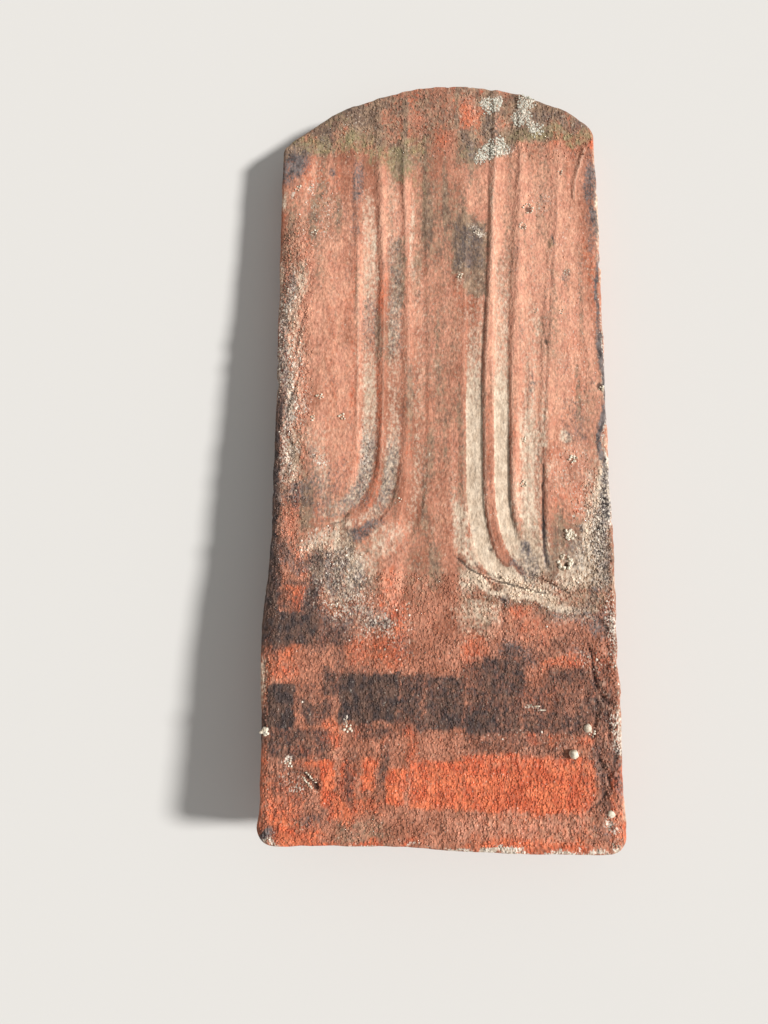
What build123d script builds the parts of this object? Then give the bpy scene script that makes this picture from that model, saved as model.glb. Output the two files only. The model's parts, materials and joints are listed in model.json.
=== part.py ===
# A plain clay roof tile with a rounded tail, moulded and fired as one piece. Three fingers of each hand were
# drawn down its wet face, which left grooves that lead rain to the tail. A nib underneath hooks on a batten.
# Millimetres. X runs across the tile, +Y points to its tail and +Z is up, with the grooved face on top.

from build123d import *
import math
import os

# The slab
length = 380.0
width = 162.0
thickness = 17.0
tail_radius = 118.0
tail_offset = 8.0
shoulder_radius = 5.0
head_corner_radius = 8.0
face_edge_radius = 1.8
back_edge_radius = 2.5

# The finger grooves: each is the print of a round finger drawn along the face
finger_radius = 12.0
groove_depth = 1.5
groove_pitch = 12.5
fingers_per_hand = 3

# The right hand's stroke starts with a hook away from the middle, tightest for the outer finger, and fans out
right_first_groove = 16.0
right_bend_from_head = 150.0
right_hook_radius = 14.0
right_hook_step = 7.0
right_hook_sweep = 50.0
right_sweep_step = 12.0
right_fan = 2.5

# The left hand started nearer the tail, with a wider hook about one centre
left_first_groove = -10.0
left_bend_from_head = 186.0
left_hook_radius = 34.0
left_hook_step = 12.5
left_hook_sweep = 55.0
left_sweep_step = 0.0
left_fan = 1.4

# The shallow hollow down the middle of the face, between the hands
hollow_radius = 90.0
hollow_depth = 1.6
hollow_end_from_head = 112.0

# The nib, measured where it meets the back of the slab
nib_width = 60.0
nib_length = 20.0
nib_depth = 18.0
nib_from_head = 10.0
nib_seat_draft = 3.0
nib_back_draft = 18.0
nib_side_draft = 14.0
nib_edge_radius = 4.0
nib_root_radius = 3.0

head_y = -length / 2
tail_y = length / 2
clear_of_tail = 2 * finger_radius


# Where the tail's arc meets the tile's side at x. The arc was cut by eye, a little off the middle.
def shoulder(x):
    reach = x - tail_offset
    return (x, tail_y - tail_radius + math.sqrt(tail_radius**2 - reach**2))


# The flat blank: straight sides, a tail cut to one arc, and eased corners and edges
def make_slab():
    half_width = width / 2
    left_shoulder = shoulder(-half_width)
    right_shoulder = shoulder(half_width)
    sides = Polyline(left_shoulder, (-half_width, head_y), (half_width, head_y), right_shoulder)
    tail = ThreePointArc(right_shoulder, (tail_offset, tail_y), left_shoulder)
    outline = make_face(Curve() + [sides, tail])
    outline = fillet(outline.vertices().sort_by(Axis.Y)[:2], head_corner_radius)
    outline = fillet(outline.vertices().sort_by(Axis.Y)[-2:], shoulder_radius)
    slab = extrude(outline, amount=thickness)
    slab = fillet(slab.faces().sort_by(Axis.Z)[-1].edges(), face_edge_radius)
    return fillet(slab.faces().sort_by(Axis.Z)[0].edges(), back_edge_radius)


# What one finger clears: it hooks in from the side, runs straight and leaves over the tail
def finger_print(side, x, bend_y, hook_radius, hook_sweep, fan):
    height = thickness + finger_radius - groove_depth
    lean = math.radians(side * fan)
    to_head = Vector(-math.sin(lean), -math.cos(lean), 0)
    bend = Vector(x, bend_y, height)
    run = (tail_y + clear_of_tail - bend_y) / math.cos(lean)
    straight = Line(bend - to_head * run, bend)
    hook = JernArc(bend, to_head, hook_radius, side * hook_sweep)
    path = Wire([straight.edge(), hook.edge()])
    section = Plane(origin=path @ 0, z_dir=path % 0) * Circle(finger_radius)
    return sweep(section, path=path) + Pos(path @ 1) * Sphere(finger_radius)


# One hand's fingers, side by side. hook and sweep_angles hold the outer finger's value and the step inward.
def hand_prints(side, first_groove, bend_from_head, hook, sweep_angles, fan):
    prints = []
    for finger in range(fingers_per_hand):
        inward = fingers_per_hand - 1 - finger
        x = first_groove + side * finger * groove_pitch
        hook_radius = hook[0] + hook[1] * inward
        hook_sweep = sweep_angles[0] + sweep_angles[1] * inward
        bend_y = head_y + bend_from_head
        prints.append(finger_print(side, x, bend_y, hook_radius, hook_sweep, fan * (1 + finger / 2)))
    return prints


# The shallow trough between the hands, run out in a round end toward the head
def middle_hollow():
    height = thickness + hollow_radius - hollow_depth
    end_y = head_y + hollow_end_from_head
    run = tail_y + clear_of_tail - end_y
    trough = Pos(0, end_y, height) * Rot(X=-90) * Cylinder(
        hollow_radius, run, align=(Align.CENTER, Align.CENTER, Align.MIN)
    )
    return trough + Pos(0, end_y, height) * Sphere(hollow_radius)


# The hook under the head: its seat, toward the tail, is nearly square, and the other sides slope more
def make_nib():
    back_y = head_y + nib_from_head
    seat_y = back_y + nib_length
    seat_slope = nib_depth * math.tan(math.radians(nib_seat_draft))
    back_slope = nib_depth * math.tan(math.radians(nib_back_draft))
    side_slope = nib_depth * math.tan(math.radians(nib_side_draft))
    side_view = Plane.YZ * make_face(
        Polyline(
            (seat_y, 0),
            (seat_y - seat_slope, -nib_depth),
            (back_y + back_slope, -nib_depth),
            (back_y, 0),
            close=True,
        )
    )
    end_view = Plane.XZ * make_face(
        Polyline(
            (-nib_width / 2, 0),
            (nib_width / 2, 0),
            (nib_width / 2 - side_slope, -nib_depth),
            (-nib_width / 2 + side_slope, -nib_depth),
            close=True,
        )
    )
    nib = extrude(side_view, amount=nib_width, both=True) & extrude(end_view, amount=length, both=True)
    free_edges = [edge for edge in nib.edges() if edge.center().Z < -nib_depth / 4]
    return fillet(free_edges, nib_edge_radius)


# The nib on the slab's back, with the clay thumbed smooth all round its root
def join_nib(slab, nib):
    tile = slab + nib
    near_x = nib_width / 2 + nib_root_radius
    back_y = head_y + nib_from_head - nib_root_radius
    seat_y = head_y + nib_from_head + nib_length + nib_root_radius
    root = []
    for edge in tile.edges().filter_by_position(Axis.Z, -0.01, 0.01):
        middle = edge.center()
        if abs(middle.X) < near_x and back_y < middle.Y < seat_y:
            root.append(edge)
    return fillet(root, nib_root_radius)


# The slab's slope in degrees when the nib's seat edge and the tail's lower edge are both on the floor
def rest_lean():
    draft = math.radians(nib_seat_draft)
    seat_y = head_y + nib_from_head + nib_length
    nib_y = seat_y - math.tan(draft) * (nib_depth - nib_edge_radius) - nib_edge_radius / math.cos(draft)
    rise = back_edge_radius + nib_depth - nib_edge_radius
    run = tail_y - back_edge_radius - nib_y
    between = math.hypot(rise, run)
    return math.degrees(math.atan2(rise, run) - math.asin((back_edge_radius - nib_edge_radius) / between))


# The whole tile, as it comes to rest on a level floor with its grooved face up
def make_tile():
    tile = join_nib(make_slab(), make_nib())
    tile -= middle_hollow()
    right_hook = (right_hook_radius, right_hook_step)
    right_sweep = (right_hook_sweep, right_sweep_step)
    for tool in hand_prints(1, right_first_groove, right_bend_from_head, right_hook, right_sweep, right_fan):
        tile -= tool
    left_hook = (left_hook_radius, left_hook_step)
    left_sweep = (left_hook_sweep, left_sweep_step)
    for tool in hand_prints(-1, left_first_groove, left_bend_from_head, left_hook, left_sweep, left_fan):
        tile -= tool
    tile = Rot(X=-rest_lean()) * tile
    box = tile.bounding_box()
    return Pos(-box.center().X, -box.center().Y, -box.min.Z) * tile


tile = make_tile()
os.makedirs("parts", exist_ok=True)
export_step(tile, "parts/tile.step")
print("tile volume", round(tile.volume / 1000), "cubic centimetres, lean", round(rest_lean(), 3), "degrees")
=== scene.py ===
# A hand-moulded clay roof tile. The imported model is the frame, in metres, with +Z up and +Y toward the tail.
# The face, edges, back and nib are one fine mesh here, worked out in the tile's own millimetres and then
# leaned as the imported tile leans. Masks stored on its points say where weathering, painted shade and painted
# highlight lie.
import json
import math
import bmesh
import bpy
import numpy as np
from mathutils import Matrix, Vector, kdtree


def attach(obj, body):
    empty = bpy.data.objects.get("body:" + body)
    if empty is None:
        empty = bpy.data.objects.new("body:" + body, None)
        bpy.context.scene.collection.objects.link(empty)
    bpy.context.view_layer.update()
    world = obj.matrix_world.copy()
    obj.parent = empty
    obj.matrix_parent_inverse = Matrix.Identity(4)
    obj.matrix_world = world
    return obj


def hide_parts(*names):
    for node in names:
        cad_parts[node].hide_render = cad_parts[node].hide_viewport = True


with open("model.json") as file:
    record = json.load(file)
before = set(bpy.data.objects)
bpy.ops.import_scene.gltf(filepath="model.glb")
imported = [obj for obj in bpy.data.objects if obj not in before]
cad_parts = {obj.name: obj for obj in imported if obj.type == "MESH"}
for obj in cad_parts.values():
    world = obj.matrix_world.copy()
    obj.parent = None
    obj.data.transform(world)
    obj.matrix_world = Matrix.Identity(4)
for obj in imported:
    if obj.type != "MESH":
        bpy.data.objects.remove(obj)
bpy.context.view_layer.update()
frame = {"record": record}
mm = 0.001

# The tile's own frame: its origin is the middle of the back, Y runs along the back toward the tail and Z
# points out of the face
underside = next(mount for mount in frame["record"]["mounts"] if mount["name"] == "underside")
outOfFace = -Vector(underside["axis"]).normalized()
acrossTile = Vector((1, 0, 0))
alongTile = outOfFace.cross(acrossTile)
tilePlace = Matrix((acrossTile, alongTile, outOfFace)).transposed().to_4x4()
tilePlace.translation = Vector(underside["pos_m"])

slab = {
    "length": 380.0,
    "width": 162.0,
    "thickness": 17.0,
    "tailRadius": 118.0,
    "tailOffset": 8.0,
    "tailReach": 110.0,  # how far to each side the tail follows its arc
    "headCorner": 8.0,
    "shoulderCorner": 5.0,
    "leastCorner": 3.0,
    "faceArris": 2.2,  # how far in from the outline the worn edge of the face starts
    "backArris": 2.5,
    "cellsAcross": 186,  # 0.9 mm each
    "cellsAlong": 348,  # 1.2 mm each, and finer over the hooks
    "fineRows": (-90.0, -34.0, 0.7),  # mm from, to and row height
    "wallRings": 7,
    "seed": 11,
}

# Strokes, marks and stains are given as read off the face, where 1 mm stands for 1.015 mm of the tile
reading = {"scale": 1.015, "shift": -0.5}


def asRead(x, y):
    return x / reading["scale"], (y - reading["shift"]) / reading["scale"]


def onTile(x, y):
    return x * reading["scale"], y * reading["scale"] + reading["shift"]


def smooth(low, high, value):
    t = np.clip((np.asarray(value, float) - low) / (high - low), 0, 1)
    return t * t * (3 - 2 * t)


# Places as rows of X, Y and Z
def placed(x, y, z=0):
    return np.stack([x, y, z + np.zeros_like(x)], 1)


# The rows' places along the slab, from -1 at the head to 1 at the tail
def rowPlaces():
    half = slab["length"] / 2
    low, high, row = slab["fineRows"]
    fine = round((high - low) / row)
    headShare = (half + low) / (2 * half - high + low)
    head = round((slab["cellsAlong"] - fine) * headShare)
    tail = slab["cellsAlong"] - fine - head
    parts = [(-half, low, head), (low, high, fine), (high, half, tail)]
    rows = [np.linspace(start, stop, count, endpoint=False) for start, stop, count in parts]
    return np.append(np.concatenate(rows), half) / half


# A smooth random field, about -1 to 1, that changes over the given millimetres along X, Y and Z
def unevenness(place, cell, seed):
    size = 48  # cells, after which it repeats
    offset = 7.31  # cells, so that no corner of them falls on the middle of the tile
    table = np.random.default_rng(slab["seed"] + seed).uniform(-1, 1, (size, size, size))
    place = place / np.array(cell, float) + offset
    base = np.floor(place).astype(int)
    part = place - base
    part = part * part * (3 - 2 * part)
    total = np.zeros(len(place))
    for corner in np.ndindex(2, 2, 2):
        step = np.array(corner)
        weight = np.prod(np.where(step == 1, part, 1 - part), axis=1)
        total += weight * table[tuple(((base + step) % size).T)]
    return total


# Unevenness by what it does. Each layer is its height in mm, the size of its lumps in mm and its seed.
uneven = {
    "side": [(0.35, 7, 1)],
    "end": [(0.4, 16, 2), (0.3, 5, 3)],
    "sand": [(0.16, 2.4, 12), (0.16, 4.4, 13)],
    "waver": [(0.25, (9, 40, 9), 17)],  # of a finger
    "ragged": [(0.35, 2.6, 19)],  # the run of a crack
    "edgeDrop": [(1.0, 11, 20), (0.6, 3.6, 21)],
    "edgeGrain": [(0.16, (1.9, 1.9, 30), 23)],
    "foot": [(0.4, 8, 24)],
    "wall": [(0.35, (9, 9, 5), 25), (0.2, 2.4, 26)],
    "nib": [(0.25, 6, 30), (0.15, 2.4, 31)],
    "nibEnd": [(0.2, 3, 32)],
    "back": [(0.25, (20, 30, 20), 40), (0.14, (14, 3, 9), 41), (0.12, 3.2, 42)],  # drag of the strike board
    "shiftX": [(2.6, (9, 16, 9), 50), (1.0, 3.2, 51)],  # dabs of weathering wander by several mm
    "shiftY": [(5.0, (9, 16, 9), 52), (1.4, 3.2, 53)],
    "fray": [(1.3, (4, 7, 5), 58), (0.9, 1.8, 59)],  # and straight borders only fray
}


def layered(use, place):
    return sum(high * unevenness(place, cell, seed) for high, cell, seed in uneven[use])


# Points close together along a smooth curve through the given ones
def smoothPath(points):
    spacing = 0.6  # mm
    p = np.array([points[0]] + list(points) + [points[-1]], float)
    made = []
    for a, b, c, d in zip(p[:-3], p[1:-2], p[2:-1], p[3:]):
        count = max(2, int(np.hypot(*(c - b)) / spacing))
        t = np.linspace(0, 1, count, endpoint=False)[:, None]
        made.append(0.5 * (2 * b + (c - a) * t + (2 * a - 5 * b + 4 * c - d) * t**2
                           + (3 * b - a - 3 * c + d) * t**3))
    return np.vstack(made + [p[-1:]])


# For each point within reach of a path drawn toward the head: how far it lies to the path's +X side,
# and how far along the path it is, from 0 to 1
def followPath(points, x, y, reach):
    line = smoothPath(points)
    tree = kdtree.KDTree(len(line))
    for i, (px, py) in enumerate(line):
        tree.insert((px, py, 0), i)
    tree.balance()
    heading = np.gradient(line, axis=0)
    heading /= np.hypot(heading[:, 0], heading[:, 1])[:, None]
    near = np.flatnonzero((x > line[:, 0].min() - reach) & (x < line[:, 0].max() + reach)
                          & (y > line[:, 1].min() - reach) & (y < line[:, 1].max() + reach))
    farAway = 1e3
    side = np.full(len(x), farAway)
    along = np.zeros(len(x))
    for i in near:
        spot, k, distance = tree.find((x[i], y[i], 0))
        if distance > reach:
            continue
        lateral = heading[k, 0] * (y[i] - spot.y) - heading[k, 1] * (x[i] - spot.x)
        atEnd = k in (0, len(line) - 1)
        side[i] = math.copysign(distance, lateral) if atEnd else lateral
        along[i] = k / (len(line) - 1)
    return side, along


# Finger strokes, drawn from the tail down to where each hand turned off: the path of each finger's middle,
# its half width at the tail and at the hook, how deep it pressed, how soft the edges of its silt are, and
# how much silt and slate-grey growth lie along it
strokes = [
    {"path": [(22, 191), (21.5, 150), (20, 120), (19, 90), (17.8, 60), (16.6, 30), (16.2, 0), (16.2, -28),
      (16.8, -40), (18.2, -50), (20.6, -59), (24.6, -65.5), (31, -70), (40, -73.4), (52, -77), (66, -80.5)],
     "half": (6.6, 4.8), "deep": 1.15, "soft": 0.34,
     "silt": [(0, 0), (0.3, 0.05), (0.4, 0.25), (0.47, 0.4), (0.54, 0.6), (0.6, 0.9), (0.64, 1), (0.86, 1),
      (0.92, 0.6), (1, 0.2)]},
    {"path": [(35, 191), (34.6, 150), (33, 120), (31.5, 90), (30.4, 60), (29.6, 30), (29, 0), (28.8, -28),
      (29.5, -40), (31.2, -49), (33.6, -56), (37.4, -61.6), (44.3, -66.5)],
     "half": (6, 4.4), "deep": 1.1, "soft": 0.34,
     "silt": [(0, 0), (0.3, 0.1), (0.44, 0.35), (0.6, 0.55), (0.68, 0.95), (0.92, 0.95), (1, 0.4)]},
    {"path": [(52.5, 188), (51.5, 150), (49.5, 120), (47.5, 90), (45.5, 60), (43.5, 30), (42.3, 0),
      (41.2, -28), (41.6, -43), (43.3, -56), (47.3, -64.5)],
     "half": (8, 6), "deep": 0.9, "soft": 0.7,
     "silt": [(0, 0), (0.4, 0.15), (0.64, 0.35), (0.72, 0.55), (0.9, 0.7), (1, 0.5)]},
    {"path": [(-38, 180), (-38, 150), (-36.6, 120), (-35.2, 90), (-34.8, 60), (-34.4, 30), (-34, 5),
      (-34.4, -10), (-36, -22), (-40, -32), (-48, -39), (-58, -43)],
     "half": (5.2, 5.4), "deep": 0.95, "soft": 0.6,
     "silt": [(0, 0), (0.2, 0.1), (0.28, 0.44), (0.46, 0.5), (0.56, 0.3), (0.62, 0.4), (0.66, 0.55),
      (0.77, 0.55), (0.83, 0.6), (0.92, 0.55), (1, 0.2)],
     "slate": [(0, 0), (0.46, 0), (0.5, 0.4), (0.58, 0.35), (0.63, 0.05), (0.74, 0.1), (0.8, 0.52),
      (0.92, 0.52), (1, 0.2)]},
    {"path": [(-25, 187), (-25, 150), (-23.5, 120), (-22.6, 90), (-22.4, 60), (-22.2, 30), (-22.4, 0),
      (-23, -15), (-25, -28), (-29, -38), (-37, -45), (-50, -50)],
     "half": (5.4, 5), "deep": 0.85, "soft": 0.6,
     "silt": [(0, 0), (0.2, 0.2), (0.36, 0.3), (0.48, 0.35), (0.51, 0.45), (0.59, 0.4), (0.63, 0.3),
      (0.74, 0.4), (0.8, 0.6), (0.9, 0.5), (1, 0.2)],
     "slate": [(0, 0), (0.32, 0), (0.35, 0.3), (0.47, 0.35), (0.52, 0.4), (0.59, 0.35), (0.62, 0.05),
      (0.74, 0.05), (0.79, 0.5), (0.88, 0.5), (0.93, 0.2), (1, 0.1)]},
    {"path": [(-12.5, 189), (-12.5, 150), (-11.5, 100), (-10.5, 50), (-10.2, 0), (-11, -25), (-14, -42),
      (-20, -54), (-31, -61), (-44, -64)],
     "half": (5, 4.6), "deep": 0.65, "soft": 0.7,
     "silt": [(0, 0), (0.4, 0.2), (0.8, 0.3), (1, 0.2)]},
]

# Where a finger's right side ploughed the clay up, a steep little step, low on the -X side: its path, how
# high and how wide in millimetres
steps = [
    ([(29.5, 188), (28, 172), (26.4, 152), (25.4, 130), (25, 110), (24.2, 90), (23.2, 70), (22, 50),
      (20.8, 25), (20.2, 0), (20.2, -29), (20.6, -37), (22.2, -46), (24.1, -53.7), (25.6, -59.6),
      (27.6, -65), (33, -69)], 0.38, 0.6),
    ([(42.5, 165), (41, 152), (39.8, 133), (39.2, 112), (38.2, 88), (36.8, 68), (35.4, 50), (34, 25),
      (33.4, 0), (32.6, -29), (33.5, -41), (35, -49), (37.4, -55.7), (39.6, -60),
      (45.3, -67.5)], 0.42, 0.6),
    ([(64.5, 164), (61.3, 148), (59.6, 133), (58.4, 118), (57.4, 104), (56.2, 89), (55, 74), (53.2, 50),
      (50.7, 20), (48.8, -9), (48, -29), (47.8, -44), (47.8, -57), (49.3, -67.5)], 0.42, 0.7),
    ([(24.8, 45), (24.6, 10), (24.2, -29), (24.6, -41), (25.8, -49), (28.1, -55.7), (31, -61)], 0.35, 0.8),
    ([(42.5, 40), (42, 10), (41.4, -25), (42, -42), (44, -54)], 0.25, 0.9),
    ([(-32, 155), (-31, 130), (-30.2, 110), (-29.2, 90), (-28.2, 60), (-27.8, 30), (-28.4, 0), (-29, -18),
      (-30.5, -28), (-33.5, -35), (-39, -41), (-46, -45), (-56, -48)], 0.24, 0.55),
    ([(-45, 150), (-44, 130), (-43, 112), (-42.2, 92), (-41, 60), (-40.6, 20), (-41, -8)], 0.3, 0.7),
    ([(-19.5, 160), (-18.6, 125), (-17.4, 100), (-16.4, 80), (-16.2, 40), (-16.6, 0),
      (-18, -25)], 0.2, 0.8),
    ([(5, -59), (9.9, -63), (13.8, -66.5), (19.7, -69.5), (25.6, -71.4), (37.4, -74.4),
      (52, -78)], -0.5, 0.8),
]

# Cracks, scores and slits: the path, how deep and how wide in millimetres
scores = [
    ([(-52, -46), (-46, -44.4), (-42.5, -40)], 0.45, 0.7),
    ([(5, -59), (9.9, -63), (13.8, -66.5), (19.7, -69.5), (25.6, -71.4), (31.5, -72.9), (37.4, -74.4),
      (43.5, -75.9), (50, -77.3)], 0.85, 0.62),
    ([(39, -67.5), (47.3, -71), (54.2, -74.4), (61, -78)], 0.6, 0.55),
    ([(15, -62), (18, -66), (22.6, -68.6), (28.6, -70.2)], 0.6, 0.8),
    ([(53.4, 52), (50.7, 20), (48.8, -9), (48, -29), (47.8, -44)], 0.12, 0.7),
    ([(48.4, -14), (47.8, -32), (47.6, -46), (47.8, -57), (49.3, -68)], 0.75, 0.85),
    ([(28.1, -78.5), (28, -90), (28, -99)], 0.45, 0.6),
    ([(72, -88), (73.5, -91), (75, -93.5)], 0.7, 0.8),
    ([(68, -147.3), (71.9, -154.2), (72.9, -159), (70, -165), (65, -169), (62, -172)], 0.65, 0.8),
    ([(72, -136), (76, -146), (73, -158), (77, -170)], 0.5, 0.9),
    ([(65, -120), (63, -130), (66, -140)], 0.35, 0.8),
    ([(65, -98), (67.4, -104), (68, -110.8), (69, -116.7), (71, -121), (76.5, -127)], 1.15, 0.55),
    ([(70.6, -101), (72, -106.4), (72.4, -111.4), (75, -117)], 0.5, 0.5),
    ([(75.4, -107), (74.2, -112), (76.6, -118)], 0.45, 0.45),
    ([(67.4, -118.5), (70.6, -123.4), (75.4, -128.6)], -0.45, 0.8),
    ([(68, -114), (69, -128), (67, -140), (70, -152), (70, -166)], 0.55, 0.8),
    ([(72, -122), (74, -134), (73, -146)], 0.45, 0.7),
    ([(-60, -155.6), (-56.4, -159), (-52.6, -162.6)], 1.3, 0.85),
    ([(78, 100), (78, 85), (77.6, 70), (77.4, 50)], 0.4, 1.3),
    ([(77.4, 35), (77.8, 10), (77.2, -10), (78, -30)], 0.4, 1.3),
    ([(-66, 60), (-70, 42), (-68, 28), (-73, 12)], 0.5, 1),
    ([(-70, 20), (-74, 4), (-70, -12), (-75, -26)], 0.5, 1),
    ([(74.4, 153), (72.4, 145), (70, 138), (68.5, 131), (67.6, 121)], -1, 0.75),
    ([(9.9, -74.4), (19.7, -78.3), (27.6, -79.3), (39.4, -80.3), (49.3, -82.8), (62, -85.6)], -0.3, 1.4),
    ([(-70, -62), (-62, -66), (-52, -66)], 0.3, 0.9),
]

# Small pits: middle, radius across and along, depth
pits = [
    (44.4, 117, 1.7, 1.9, 0.7), (41.5, 107, 1, 1, 0.6), (61.3, 137.5, 1, 1.4, 0.5),
    (40, 127.5, 0.9, 1.6, 0.5), (54.6, 98, 1, 3, 0.4), (51.3, 45.6, 1.2, 2.2, 0.6),
    (62.8, 82.5, 2, 1.6, 0.25), (57.5, -64, 1.4, 1.4, 0.9), (61, -51, 1, 1, 0.6),
    (-54.6, -161.4, 1.7, 1.7, 0.9), (76.5, 23, 1.6, 2.2, 0.9), (23, -57, 0.9, 0.9, 0.4),
    (-63, 103, 1.2, 1.2, 0.3), (-78.5, -137, 1.8, 2.2, 0.8), (57.5, -150, 1.8, 1.2, 0.5),
    (66, -139, 2.4, 1.4, 0.5),
]

# Where the edge of a handmade slab wanders off its straight lines: distance along, how far out
leftEdge = [(-190, 0.6), (-175, -0.9), (-140, -0.6), (-112, 1.5), (-96, 1.7), (-80, 0.4), (-56, -1.4),
    (-20, -1), (10, -0.8), (45, -0.3), (75, 0), (100, 0.6), (130, 0.9), (150, 0.8), (190, 0.3)]
rightEdge = [(-190, -0.4), (-170, -0.6), (-140, -0.2), (-120, 0.2), (-100, -0.5), (-62, 0.4), (-45, 0),
    (-30, -0.5), (0, -0.4), (30, -0.3), (60, 0), (90, 0.4), (120, 0.5), (145, 0), (160, -0.5), (190, -0.5)]
tailEdge = [(-81, 3), (-74, 2.2), (-66, 1.6), (-50, 1.3), (-30, 0.6), (0, 0.5), (30, 1.4), (50, 1.8),
    (70, 2), (81, 1)]
headEdge = [(-81, 0.9), (-10, 0.6), (10, -1), (81, -1.3)]


# Draws the corners of a rectangle in to quarter rounds
def roundCorners(x, y, halfX, halfY, radius):
    u = np.clip((np.abs(x) - halfX + radius) / radius, 0, 1)
    v = np.clip((np.abs(y) - halfY + radius) / radius, 0, 1)
    x = x - np.sign(x) * radius * u * (1 - np.sqrt(1 - v * v / 2))
    y = y - np.sign(y) * radius * v * (1 - np.sqrt(1 - u * u / 2))
    return x, y


# A point of the slab's plan, for s from -1 to 1 across and t from -1 at the head to 1 at the tail,
# with its outline drawn in by the inset
def planPlace(s, t, inset):
    halfX = slab["width"] / 2 - inset
    halfY = slab["length"] / 2 - inset
    corner = np.where(t > 0, slab["shoulderCorner"], slab["headCorner"]) - inset
    x, y = roundCorners(s * halfX, t * halfY, halfX, halfY, np.maximum(corner, slab["leastCorner"]))
    arcX = np.clip(x - slab["tailOffset"], -slab["tailReach"], slab["tailReach"])
    arcMiddle = slab["length"] / 2 - slab["tailRadius"]
    tailY = arcMiddle + np.sqrt((slab["tailRadius"] - inset) ** 2 - arcX**2)
    # the rows bend toward the arc, most of all at the tail
    y = y - (halfY - tailY) * ((y / halfY + 1) / 2) ** 4
    place = placed(x, y)
    nearSide, nearEnd = smooth(0.9, 1.0, np.abs(s)), smooth(0.9, 1.0, np.abs(t))
    wander = np.where(x < 0, -np.interp(y, *zip(*leftEdge)), np.interp(y, *zip(*rightEdge)))
    x = x + wander * smooth(0.75, 1.0, np.abs(s)) + layered("side", place) * nearSide
    wander = np.where(y > 0, np.interp(x, *zip(*tailEdge)) - 0.2, np.interp(x, *zip(*headEdge)))
    return x, y + (wander + layered("end", place)) * nearEnd


# How far inside a region of the face each place lies, from 0 to 1. A side fades in from its first mm to its
# second.
def within(region, x, y):
    share = np.ones_like(x)
    for value, sides in ((x, region.get("x", [])), (y, region.get("y", []))):
        for start, full in sides:
            share = share * smooth(start, full, value)
    return share


# Where the moulding sand stands out of the face, and how much, from 0 to 1: the fingers smoothed the middle,
# and the head and the edges kept it
sandy = [
    {"much": 0.9, "x": [(-56, -70)], "y": [(130, 90)]},
    {"much": 0.85, "x": [(62, 70)], "y": [(0, -36)]},
    {"much": 0.6, "y": [(132, 156)]},
    {"much": 0.8, "x": [(-34, -44)], "y": [(-46, -60)]},
    {"much": 0.65, "y": [(-62, -72)]},
]

# Broad dips and swells: height, middle and spread across and along, in mm
swells = [(1.0, -22, 15, -130, 30), (-0.7, 0, 16, -182, 18)]

# Relief finer than the strokes, region by region. Each layer is its height, the size of its lumps in mm, its
# seed and, where they lean, how X and Y are turned for it.
crustLean = [[1, 0.45, 0], [0, 1, 0], [0, 0, 1]]
smearLean = [[0.94, -0.34, 0], [0.34, 0.94, 0], [0, 0, 1]]
relief = [
    {"layers": [(0.4, (26, 60, 30), 10)]},
    {"y": [(-100, -55)], "layers": [(0.16, (5, 50, 5), 9), (0.09, (2.6, 30, 3), 11)]},
    {"y": [(-84, -104)], "layers": [(0.2, (2.2, 3.6, 3), 14), (0.2, (3, 24, 3), 15)]},
    {"x": [(-62, -72)], "y": [(120, 60), (-110, -60)],
     "layers": [(0.7, (3, 8, 3), 16, crustLean), (0.25, 2.2, 6)]},
    {"x": [(64, 72)], "y": [(0, -40)], "layers": [(0.45, (2.6, 5, 3), 8), (0.25, 2.2, 5)]},
    {"x": [(-16, -26), (-66, -58)], "y": [(-34, -44), (-104, -94)],
     "layers": [(0.35, (7, 2.4, 3), 4, smearLean), (0.3, 2, 7)]},
]

# How far to each side the marks are felt, and how deep the middle is hollowed, in mm
pressing = {"strokeReach": 16, "stepReach": 14, "scoreReach": 6, "hollow": 1.5}


def sandiness(x, y):
    headSand = 0.25 + 0.75 * smooth(-82, -100, y)
    return np.maximum.reduce([headSand] + [part["much"] * within(part, x, y) for part in sandy])
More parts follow.
